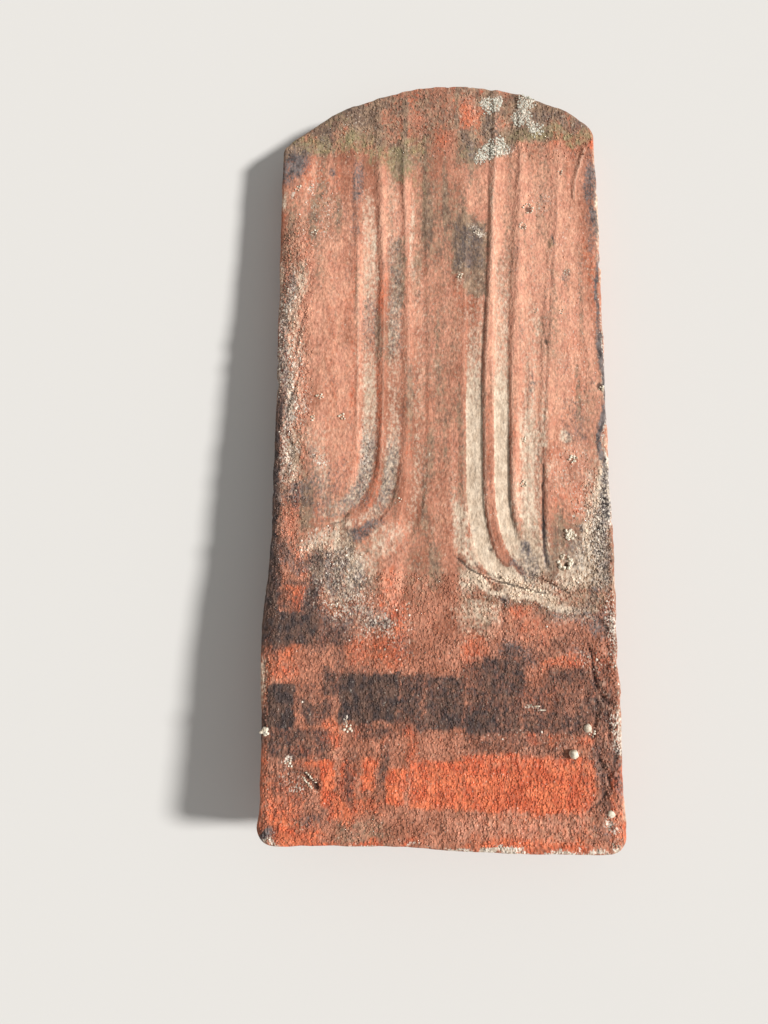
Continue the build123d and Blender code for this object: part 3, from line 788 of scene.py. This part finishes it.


# One mask for each coat of weathering, then how sandy each point is, how much dirt and painted shade sit in
# its creases, and how light it is
def paintMasks():
    x, y, z = points.T
    readX, readY = asRead(x, y)
    shiftX, shiftY, fray = [layered(use, points) for use in ("shiftX", "shiftY", "fray")]
    onFace = smooth(6, 13, z)
    onWall = smooth(0.5, 3, z) * (1 - onFace)
    behind = 1 - smooth(0.5, 3, z)
    masks = {}
    for seed, (name, dabs) in enumerate(weather.items(), 60):
        blotches = 1 + 0.3 * unevenness(points, (4.5, 9, 5), seed)
        soft = covered(readX + shiftX, readY + shiftY, dabs) * blotches
        flat = panelled(readX + fray, readY + fray, panels.get(name, [])) * (0.7 + 0.3 * blotches)
        masks[name] = np.maximum(soft, flat) * onFace
    stroked = onFace * smooth(-84, -66, y)
    for seed, (name, cell, much) in enumerate(streaking, 90):
        masks[name] += much * smooth(0.1, 0.75, unevenness(points, cell, seed)) * stroked

    # the walls and the back, where two slow fields take turns
    drift = 0.5 + 0.5 * unevenness(points, (22, 30, 12), 54)
    counter = 0.5 + 0.5 * unevenness(points, (16, 24, 10), 55)
    unseen = {
        "ember": (0.35 * drift, 0.35 + 0.5 * counter),
        "bleach": (0, 0.25 * drift),
        "film": (0.4 * smooth(100, 170, y), 0),
        "silt": (0.2 * (1 - drift), 0.3 * (1 - drift)),
        "slate": (0.5 * counter, 0.2 * smooth(0.5, 1.0, counter)),
        "soot": (0.8 * covered(readX, readY, weather["soot"]), 0.4 * smooth(0.5, 1.0, drift)),
        "lime": (0.3 * (1 - counter), 0.25 * (1 - drift)),
    }
    for name, (wallShare, backShare) in unseen.items():
        masks[name] += onWall * wallShare + behind * backShare
    # the worn arrises of the long edges paled with silt: partly a pale crust, partly painted highlight
    rim = smooth(77.5, 80, np.abs(x)) * smooth(9, 14, z) * smooth(170, 120, y)
    masks["silt"] += 0.55 * rim * smooth(-0.4, 0.5, unevenness(points, (6, 14, 6), 57))

    # what the form of the face decides, on the points of its grid, which come first
    face = slice(marks["grid"].size)
    masks["sand"] = np.maximum(sandiness(readX, readY), 0.85 * (1 - onFace))
    floors = marks["floors"] * (1 + 0.12 * unevenness(points[face], (4, 14, 4), 56))
    masks["silt"][face] = np.maximum(masks["silt"][face], floors)
    masks["slate"][face] = np.maximum(masks["slate"][face], marks["grey"])
    masks["ember"][face] *= 1 - 0.9 * marks["floors"]
    # painted highlight: the lit slopes beside the steps are paled as bleach
    masks["bleach"][face] += 0.2 * marks["crestHighlight"] * smooth(0, 40, y[face])
    masks["sand"][face] *= 1 - 0.6 * marks["floors"] * smooth(-70, -55, y[face])
    # painted shade, with some dirt: darker where the face lies below its smoothed surround, in cracks, and on
    # the shaded wall of each step; convex spots get painted highlight
    masks["creaseShadeAndDirt"] = np.zeros(len(x))
    masks["creaseShadeAndDirt"][face] = np.clip(0.24 * hollowness(marks["grid"], z, 3), -1, 1)
    masks["creaseShadeAndDirt"][face] += 0.8 * marks["crack"] + 0.26 * marks["step"]
    masks["tone"] = np.zeros(len(x))  # only loose grains have a tone of their own, lighter on average as painted highlight
    return masks


def storeMasks(mesh, masks):
    for name, values in masks.items():
        layer = mesh.attributes.new(name, "FLOAT", "POINT")
        layer.data.foreach_set("value", values.astype(np.float32))


def intoScene(name, data):
    made = bpy.data.objects.new(name, data)
    bpy.context.scene.collection.objects.link(made)
    return made


def meshPiece(name, places, faces):
    mesh = bpy.data.meshes.new(name)
    world = places * mm @ np.array(tilePlace.to_3x3()).T + np.array(tilePlace.translation)
    world[:, 2] = np.maximum(world[:, 2], 0)  # nothing reaches under the floor it lies on
    mesh.from_pydata(world.tolist(), [], faces)
    mesh.update()
    mesh.shade_smooth()
    piece = intoScene(name, mesh)
    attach(piece, "root")
    return piece


masks = paintMasks()
clayTile = meshPiece("clayTile", points, quads.tolist() + triangles.tolist())
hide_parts("tile")
storeMasks(clayTile.data, masks)
print("tile:", len(points), "points,", len(quads) * 2 + len(triangles), "triangles")

sand = {
    "grains": 14000,
    "radius": (0.3, 0.68),  # mm
    "sides": 6,
    "sunk": 0.35,  # how much of its height a grain is sunk, so that none stands loose
    "scatter": 0.4,  # mm to each side of the point it stands on
    "keepOff": (79.5, 188.0),  # mm from the middle, where the worn edge starts
}


# Grains of the moulding sand that stand out of the face: low bipyramids, partly sunk, and weathered like the
# clay round them
def makeSand():
    rng = np.random.default_rng(slab["seed"] + 70)
    x, y, z = points[:marks["grid"].size].T
    weight = np.clip(masks["sand"][:len(x)] - 0.3, 0, 1) + 0.7 * np.clip(masks["lime"][:len(x)] - 0.1, 0, 1)
    weight *= (np.abs(x) < sand["keepOff"][0]) * (np.abs(y) < sand["keepOff"][1])
    count = sand["grains"]
    chosen = rng.choice(len(x), count, replace=False, p=weight / weight.sum())
    radius = rng.uniform(*sand["radius"], count)
    heart = placed(x[chosen], y[chosen], z[chosen])
    heart[:, :2] += rng.uniform(-sand["scatter"], sand["scatter"], (count, 2))
    tall = radius * rng.uniform(0.45, 0.85, count)
    sides = sand["sides"]
    turn = rng.uniform(0, 2 * math.pi, count)[:, None] + np.arange(sides) * 2 * math.pi / sides
    reach = radius[:, None] * rng.uniform(0.75, 1.2, (count, sides))
    ring = np.stack([np.cos(turn) * reach, np.sin(turn) * reach, reach * 0], 2)
    level = np.zeros(count)
    ring += (heart + placed(level, level, tall * (0.5 - sand["sunk"])))[:, None]
    top = heart + placed(rng.uniform(-0.1, 0.1, count), rng.uniform(-0.1, 0.1, count), tall)
    under = heart - placed(level, level, tall)
    places = np.concatenate([top[:, None], under[:, None], ring], 1).reshape(-1, 3)
    k = np.arange(sides)
    after = (k + 1) % sides
    one = np.concatenate([np.stack([k * 0, 2 + k, 2 + after], 1), np.stack([k * 0 + 1, 2 + after, 2 + k], 1)])
    faces = (np.arange(count)[:, None, None] * (sides + 2) + one).reshape(-1, 3)
    piece = meshPiece("mouldingSand", places, faces.tolist())
    grains = {name: np.repeat(values[chosen], sides + 2) for name, values in masks.items()}
    white = rng.random(count) < 0.0008 + 0.18 * np.clip(masks["lime"][chosen], 0, 1)
    grains["lime"] = np.where(np.repeat(white, sides + 2), 0.8, 0.3 * grains["lime"])
    # each grain's own tone, lighter than the clay round it on average: partly random, partly painted highlight
    # of grains standing in the light
    grains["tone"] = np.repeat(rng.normal(0.5, 0.5, count), sides + 2)
    grains["creaseShadeAndDirt"] *= 0
    storeMasks(piece.data, grains)
    return piece


mouldingSand = makeSand()
print("sand grains:", sand["grains"])


def faceLevel(x, y):
    gridX, gridY, gridZ = points[:marks["grid"].size].T
    return gridZ[np.argmin((gridX - x) ** 2 + (gridY - y) ** 2)]


# One joined mesh of small uneven lumps; each is its middle and its radius along X, Y and Z, in mm
def makeLumps(name, lumps, roughness):
    ball = bmesh.new()
    bmesh.ops.create_icosphere(ball, subdivisions=2, radius=1.0)
    shape = np.array([v.co[:] for v in ball.verts])
    faces = np.array([[v.index for v in f.verts] for f in ball.faces])
    ball.free()
    places = []
    for i, (x, y, z, rx, ry, rz) in enumerate(lumps):
        turned = shape @ np.array(Matrix.Rotation(i * 2.4, 3, "Z"))
        swell = 1 + roughness * unevenness(turned + i * 3.7, 0.7, 75)
        places.append(turned * swell[:, None] * (rx, ry, rz) + (x, y, z))
    allFaces = (np.arange(len(lumps))[:, None, None] * len(shape) + faces).reshape(-1, 3)
    return meshPiece(name, np.vstack(places), allFaces.tolist())


goldenTurn = 2.39996  # radians from one lump of a round cluster to the next

# Crustose lichen on the exposed tail: middle and radius of each rosette, in mm
lichen = {
    "rosettes": [(26.6, 176.6, 5), (30.2, 178.8, 2.8), (23.6, 178, 3.2), (44.6, 178.2, 4.7),
        (42.8, 169.4, 5.3), (49.8, 163, 4.2), (28.6, 152.6, 5.8), (24, 149.2, 4.4), (32.6, 152.8, 3.2),
        (19.8, 145.2, 3)],
    "lobe": (0.32, 0.72),  # mm, radius of one lobe
    "high": 0.22,  # mm
    "packing": 3.2,  # lobes in a rosette, for each square mm of its radius squared
    "bare": 0.24,  # share of the lobes that have fallen off
    "roughness": 0.42,
}


def makeLichen():
    rng = np.random.default_rng(slab["seed"] + 71)
    lobes = []
    for readX, readY, r in lichen["rosettes"]:
        cx, cy = onTile(readX, readY)
        count = lichen["packing"] * r * r
        for k in range(int(count)):
            turn = k * goldenTurn
            out = r * math.sqrt((k + 0.5) / count)
            out *= 1 + 0.16 * math.sin(3 * turn + cx) * rng.random()
            x = cx + out * math.cos(turn) + rng.uniform(-0.4, 0.4)
            y = cy + out * math.sin(turn) + rng.uniform(-0.4, 0.4)
            radius = rng.uniform(*lichen["lobe"])
            if rng.random() < lichen["bare"]:
                continue
            long = radius * rng.uniform(0.7, 1.5)
            lobes.append((x, y, faceLevel(x, y) + 0.04, radius, long, lichen["high"]))
    return makeLumps("lichenCrust", lobes, lichen["roughness"])


lichenCrust = makeLichen()

# Stones and chips in the clay: middle, radius of the cluster, how open its middle is from 0 to 1, how many,
# and the radius of one, in mm
grit = {
    "clusters": [
        (59.5, -49.5, 2.6, 0, 16, 0.75), (56.8, -62.5, 3.4, 0.55, 22, 0.75), (62, -13.5, 2, 0.2, 9, 0.6),
        (39, -25.5, 1.6, 0.3, 8, 0.5), (39.5, -4, 1.3, 0, 4, 0.5), (44.4, 117.4, 2.7, 0.8, 12, 0.45),
        (41.5, 107.4, 1.8, 0.75, 9, 0.4), (61.3, 137.5, 1.4, 0.5, 4, 0.35), (-66.5, -152, 1.8, 0, 6, 0.55),
        (-41, -137, 2, 0.2, 6, 0.6), (-58, 16, 1.7, 0, 6, 0.5), (-61, 5, 1.4, 0, 4, 0.5),
        (-47, 6, 1.8, 0, 6, 0.5), (-72, 127, 1.8, 0, 5, 0.5), (-62.5, 103, 1.5, 0.2, 5, 0.45),
        (10, 80, 1.4, 0, 5, 0.6), (77.4, 22, 1.6, 0, 5, 0.6), (-77.6, -139, 1.7, 0.3, 6, 0.8),
        (66.5, -138, 1.6, 0.2, 5, 0.5), (46.9, 62, 1.2, 0.4, 4, 0.35), (59.4, 61.3, 1.4, 0, 4, 0.4),
        (62.8, 82.5, 1.8, 0.4, 5, 0.4), (-19, -34, 1.2, 0, 3, 0.4), (18.5, 104, 1.8, 0, 6, 0.4),
    ],
    # crumbs of lime along a slit: from, to, how many and how large
    "lips": [
        ((-60.4, -157.4), (-56.2, -162), 9, 0.44), ((-58.6, -155.6), (-54.6, -159.8), 9, 0.4),
    ],
    # middle, radius along X, Y and Z, and how far the middle stands above the face
    "stones": [
        (57.5, -146.5, 2.15, 2.1, 2, 1.2), (64.2, -135.6, 1.8, 2, 1.3, 0.6),
        (42, -126.6, 1.6, 0.4, 0.5, 0.1), (44.6, -128.2, 1.7, 0.4, 0.5, 0.1),
        (-77.6, -138.6, 1.3, 1.9, 1.1, 0.2), (73, -171, 2, 1.6, 0.3, 0),
    ],
    "roughness": 0.22,
}


def makeGrit():
    rng = np.random.default_rng(slab["seed"] + 72)
    lumps = []
    for readX, readY, r, hollow, count, size in grit["clusters"]:
        cx, cy = onTile(readX, readY)
        for k in range(count):
            turn = k * goldenTurn + rng.uniform(-0.3, 0.3)
            out = r * (hollow + (1 - hollow) * math.sqrt((k + 0.5) / count))
            x, y = cx + out * math.cos(turn), cy + out * math.sin(turn)
            rx, ry, rz = size * rng.uniform(0.7, 1.3, 3)
            lumps.append((x, y, faceLevel(x, y) + 0.15 * rz, rx, ry, rz))
    for start, stop, count, size in grit["lips"]:
        for along in np.linspace(0, 1, count):
            x, y = onTile(*[a + (b - a) * along + rng.uniform(-0.2, 0.2) for a, b in zip(start, stop)])
            rx, ry, rz = size * rng.uniform(0.7, 1.4, 3)
            lumps.append((x, y, faceLevel(x, y) + 0.1, rx, ry, rz))
    for readX, readY, rx, ry, rz, lift in grit["stones"]:
        x, y = onTile(readX, readY)
        lumps.append((x, y, faceLevel(x, y) + lift, rx, ry, rz))
    return makeLumps("limeGrit", lumps, grit["roughness"])


limeGrit = makeGrit()
print("lichen and grit:", len(lichenCrust.data.polygons) + len(limeGrit.data.polygons), "triangles")


def srgb(code):
    parts = [int(code[i:i + 2], 16) / 255 for i in (1, 3, 5)]
    return tuple(c / 12.92 if c <= 0.04045 else ((c + 0.055) / 1.055) ** 2.4 for c in parts) + (1.0,)


# Adds a node to a material's tree with its settings, its values and its links, and gives back one output
def addNode(tree, kind, inputs, output=0, **settings):
    node = tree.nodes.new("ShaderNode" + kind)
    for name, value in settings.items():
        setattr(node, name, value)
    for name, value in inputs.items():
        if isinstance(value, bpy.types.NodeSocket):
            tree.links.new(value, node.inputs[name])
        else:
            node.inputs[name].default_value = value
    return node.outputs[output]


# Places of the colours among the Mix node's sockets: two go in, one comes out
colourA = 6
colourB = 7
colourOut = 2

# Sand-moulded earthenware, struck and stroked by hand, then sixty or more winters on a roof: dead matt and
# grainy at about 1 mm, with each stain sitting grain by grain rather than as a film of paint.
firedClay = {
    "brick": ("#945a42", "#b97b61"),
    "mottle": 11.0,  # mm, how far apart the firing left the clay lighter and darker
    "grain": 1.0,  # mm, the moulding sand
    "relief": (0.0011, 0.00045),  # m, how high clumps of grains and single ones stand
    "drawn": 0.68,  # every stain is drawn out a little along the tile
    "streaks": 0.14,  # and the marks of the hand far more
    "streak": (0.9, 1.1),  # the darkest and the lightest of those marks
    "speck": 1.25,  # how much one grain's tone differs from the next
    "loose": 0.3,  # and a loose grain's from the body, lighter on average as painted highlight
    "fingered": 0.35,  # how much of the grain is left where the fingers smoothed it
    "roughness": (0.86, 0.97),
    "creaseShadeAndDirt": "#33231d",  # darker in steps, hollows and cracks: partly dirt, partly painted shade
    "crestHighlight": "#e8c2a8",  # high spots paler: painted highlight
    "coats": [
        # mask, two colours it wavers between, breakup in mm, how ragged, softness of its edge
        ("ember", "#c05a38", "#d9744c", 1.5, 0.55, 0.42),
        ("bleach", "#d09076", "#dfa385", 1.5, 0.50, 0.45),
        ("film", "#755c4b", "#9d7f66", 1.3, 0.60, 0.40),
        ("algae", "#857858", "#a09068", 2.0, 0.60, 0.40),
        ("silt", "#ccb399", "#e5ceb4", 1.3, 0.55, 0.36),
        ("slate", "#463f3e", "#7a6e6a", 1.0, 0.62, 0.42),
        ("soot", "#403432", "#63493d", 1.3, 0.50, 0.48),
        ("lime", "#b9a792", "#e9dccb", 0.75, 0.90, 0.28),
    ],
}


# Lays one weathering coat over the colour under it, broken up grain by grain where its mask is weak
def layCoat(tree, place, under, coat, seed):
    name, dark, pale, size, ragged, softness = coat
    mask = addNode(tree, "Attribute", {}, "Fac", attribute_name=name)
    apart = (seed * 7.3, seed * 3.1, seed * 5.7)  # mm, so that no two coats break up alike
    moved = addNode(tree, "VectorMath", {0: place, 1: apart}, operation="ADD")
    fine = addNode(tree, "TexNoise", {"Vector": moved, "Scale": 1 / size, "Detail": 2.0})
    tone = addNode(tree, "TexNoise", {"Vector": moved, "Scale": 0.4 / size, "Detail": 2.0})
    centred = addNode(tree, "Math", {0: fine, 1: 0.5}, operation="SUBTRACT")
    spread = addNode(tree, "Math", {0: centred, 1: 2.2 * ragged, 2: mask}, operation="MULTIPLY_ADD")
    edge = {"Value": spread, "From Min": 0.5 - softness, "From Max": 0.5 + softness}
    cover = addNode(tree, "MapRange", edge, interpolation_type="SMOOTHSTEP")
    shades = {"Value": tone, "From Min": 0.35, "From Max": 0.65}
    shade = addNode(tree, "MapRange", shades, interpolation_type="SMOOTHSTEP")
    colours = {0: shade, colourA: srgb(dark), colourB: srgb(pale)}
    paint = addNode(tree, "Mix", colours, colourOut, data_type="RGBA")
    return addNode(tree, "Mix", {0: cover, colourA: under, colourB: paint}, colourOut, data_type="RGBA")


def newMaterial(name):
    material = bpy.data.materials.new(name)
    material.use_nodes = True
    tree = material.node_tree
    spot = addNode(tree, "TexCoord", {}, "Object")
    millimetres = addNode(tree, "VectorMath", {0: spot, 1: (1000, 1000, 1000)}, operation="MULTIPLY")
    return material, tree, tree.nodes["Principled BSDF"], millimetres


def makeFiredClay():
    material, tree, shader, place = newMaterial("sandMouldedFiredClay")
    drawnOut = [{0: place, 1: (1, firedClay[way], 1)} for way in ("drawn", "streaks")]
    pulled, lengthwise = [addNode(tree, "VectorMath", by, operation="MULTIPLY") for by in drawnOut]
    stored = ("sand", "creaseShadeAndDirt", "tone")
    sandy, creaseShadeAndDirt, grainToneAndHighlight = [addNode(tree, "Attribute", {}, "Fac", attribute_name=mask) for mask in stored]
    mottle = addNode(tree, "TexNoise", {"Vector": place, "Scale": 1 / firedClay["mottle"], "Detail": 3.0})
    fired = addNode(tree, "MapRange", {"Value": mottle, "From Min": 0.35, "From Max": 0.65})
    dark, pale = [srgb(code) for code in firedClay["brick"]]
    brick = {0: fired, colourA: dark, colourB: pale}
    colour = addNode(tree, "Mix", brick, colourOut, data_type="RGBA")
    for seed, coat in enumerate(firedClay["coats"], 2):
        colour = layCoat(tree, pulled, colour, coat, seed)

    # painted shade and dirt in the creases, and paler crests as painted highlight
    for name, start, full, most in (("creaseShadeAndDirt", 0.12, 1.0, 0.8), ("crestHighlight", -0.1, -0.8, 0.35)):
        ramp = {"Value": creaseShadeAndDirt, "From Min": start, "From Max": full, "To Max": most}
        much = addNode(tree, "MapRange", ramp)
        layers = {0: much, colourA: colour, colourB: srgb(firedClay[name])}
        colour = addNode(tree, "Mix", layers, colourOut, data_type="RGBA")

    # each grain a little lighter or darker than the body, and fine drag marks along the strokes
    fineness = 1 / firedClay["grain"]
    grain = addNode(tree, "TexNoise", {"Vector": pulled, "Scale": fineness, "Detail": 1.0})
    drag = addNode(tree, "TexNoise", {"Vector": lengthwise, "Scale": fineness, "Detail": 1.0})
    spread = addNode(tree, "MapRange", {"Value": sandy, "To Min": firedClay["fingered"], "To Max": 1.0})
    centred = addNode(tree, "Math", {0: grain, 1: 0.5}, operation="SUBTRACT")
    speck = addNode(tree, "Math", {0: centred, 1: spread}, operation="MULTIPLY")
    speck = addNode(tree, "Math", {0: speck, 1: firedClay["speck"], 2: 1.0}, operation="MULTIPLY_ADD")
    darkest, lightest = firedClay["streak"]
    dragged = {"Value": drag, "From Min": 0.25, "From Max": 0.75, "To Min": darkest, "To Max": lightest}
    streak = addNode(tree, "MapRange", dragged)
    # loose grains lighter on average: partly their own tone, partly painted highlight
    own = addNode(tree, "Math", {0: grainToneAndHighlight, 1: firedClay["loose"], 2: 1.0}, operation="MULTIPLY_ADD")
    tint = addNode(tree, "Math", {0: speck, 1: streak}, operation="MULTIPLY")
    tint = addNode(tree, "Math", {0: tint, 1: own}, operation="MULTIPLY")
    colour = addNode(tree, "VectorMath", {0: colour, "Scale": tint}, operation="SCALE")
    tree.links.new(colour, shader.inputs["Base Color"])
    smoothest, roughest = firedClay["roughness"]
    rough = addNode(tree, "MapRange", {"Value": grain, "To Min": smoothest, "To Max": roughest})
    tree.links.new(rough, shader.inputs["Roughness"])
    shader.inputs["IOR"].default_value = 1.5

    # relief of the sand in clumps of about 1.7 mm and in single grains, shallow where the fingers smoothed it
    lump = addNode(tree, "TexNoise", {"Vector": pulled, "Scale": 0.6 * fineness, "Detail": 1.0})
    clumpHigh, grainHigh = firedClay["relief"]
    coarse = addNode(tree, "Bump", {"Height": lump, "Strength": spread, "Distance": clumpHigh})
    grains = {"Height": grain, "Strength": spread, "Distance": grainHigh, "Normal": coarse}
    tree.links.new(addNode(tree, "Bump", grains), shader.inputs["Normal"])
    return material


fired = makeFiredClay()
for piece in (clayTile, mouldingSand):
    piece.data.materials.append(fired)

# Crustose lichen, grown in place: chalky and dead matt, greener and darker between its lobes.
# Lime and flint grit, burnt in the kiln with the clay: off-white, dusty, with a little grey in it.
crusts = {
    # piece, darker and paler tone, mm from one to the other, roughness
    "crustoseLichen": (lichenCrust, "#8b8474", "#e0dac9", 1.1, 0.95),
    "kilnBurntLimeGrit": (limeGrit, "#b9a68e", "#efe3cd", 2.2, 0.85),
}
for name, (piece, dark, pale, size, roughness) in crusts.items():
    material, tree, shader, place = newMaterial(name)
    patches = addNode(tree, "TexNoise", {"Vector": place, "Scale": 1 / size, "Detail": 3.0})
    blend = addNode(tree, "MapRange", {"Value": patches, "From Min": 0.36, "From Max": 0.6})
    tones = {0: blend, colourA: srgb(dark), colourB: srgb(pale)}
    colour = addNode(tree, "Mix", tones, colourOut, data_type="RGBA")
    tree.links.new(colour, shader.inputs["Base Color"])
    dust = addNode(tree, "TexNoise", {"Vector": place, "Scale": 2.2, "Detail": 2.0})  # 0.45 mm grains
    bumps = addNode(tree, "Bump", {"Height": dust, "Strength": 0.6, "Distance": 0.0003})
    tree.links.new(bumps, shader.inputs["Normal"])
    shader.inputs["Roughness"].default_value = roughness
    piece.data.materials.append(material)
print("materials:", [fired.name] + list(crusts))

studio = {
    "floorSize": 12.0,  # m
    "floor": "#d9d6d1",
    "keyAzimuth": 0.0,  # degrees from +X toward +Y
    "keyElevation": 36.0,
    "keySpread": 9.2,  # degrees across, as a large soft panel far off
    "keyStrength": 4.48,
    "sky": 0.36,
    "backdrop": "#edeae5",  # what the camera sees of the room
    "lens": 25.49,  # mm on a 36 mm sensor
    "eye": (-26.0, -106.2, 335.55),  # mm from the middle of the face
    "tilt": 0.1914,  # radians from straight down on the face
    "twist": 0.0127,
}

floorMesh = bpy.data.meshes.new("studioFloor")
half = studio["floorSize"] / 2
corners = [(-half, -half, 0), (half, -half, 0), (half, half, 0), (-half, half, 0)]
floorMesh.from_pydata(corners, [], [(0, 1, 2, 3)])
studioFloor = intoScene("studioFloor", floorMesh)
paleFloor = bpy.data.materials.new("matPaintedBoard")
paleFloor.use_nodes = True
board = paleFloor.node_tree.nodes["Principled BSDF"].inputs
board["Base Color"].default_value = srgb(studio["floor"])
board["Roughness"].default_value = 0.9
board["Specular IOR Level"].default_value = 0.1
floorMesh.materials.append(paleFloor)

key = bpy.data.lights.new("keyPanel", "SUN")
key.angle = math.radians(studio["keySpread"])
key.energy = studio["keyStrength"]
keyPanel = intoScene("keyPanel", key)
a = math.radians(studio["keyAzimuth"])
e = math.radians(studio["keyElevation"])
toKey = Vector((math.cos(a) * math.cos(e), math.sin(a) * math.cos(e), math.sin(e)))
keyPanel.location = toKey
keyPanel.rotation_euler = toKey.to_track_quat("Z", "Y").to_euler()

sky = bpy.data.worlds.new("softRoom")
sky.use_nodes = True
room = sky.node_tree
# the backdrop is for what is looked at; the diffuse light of the room is the sky's
looking = ("Is Camera Ray", "Is Glossy Ray", "Is Transmission Ray")
rays = [addNode(room, "LightPath", {}, name) for name in looking]
seen = addNode(room, "Math", {0: rays[0], 1: rays[1]}, operation="ADD")
seen = addNode(room, "Math", {0: seen, 1: rays[2]}, operation="ADD", use_clamp=True)
light = [studio["sky"]] * 3 + [1]
backdrop = {0: seen, colourA: light, colourB: srgb(studio["backdrop"])}
shown = addNode(room, "Mix", backdrop, colourOut, data_type="RGBA")
room.links.new(shown, room.nodes["Background"].inputs["Color"])
bpy.context.scene.world = sky
print("studio: floor, key panel and sky")

lens = bpy.data.cameras.new("viewer")
lens.lens = studio["lens"]
lens.sensor_width = 36.0
lens.clip_start = 0.01
lens.clip_end = 20
viewer = intoScene("viewer", lens)
facePlace = tilePlace @ Matrix.Translation((0, 0, slab["thickness"] * mm))
eye = Matrix.Translation(Vector(studio["eye"]) * mm)
turn = Matrix.Rotation(studio["twist"], 4, "Z") @ Matrix.Rotation(studio["tilt"], 4, "X")
viewer.matrix_world = facePlace @ eye @ turn
bpy.context.scene.camera = viewer
bpy.context.scene.view_settings.view_transform = "Standard"
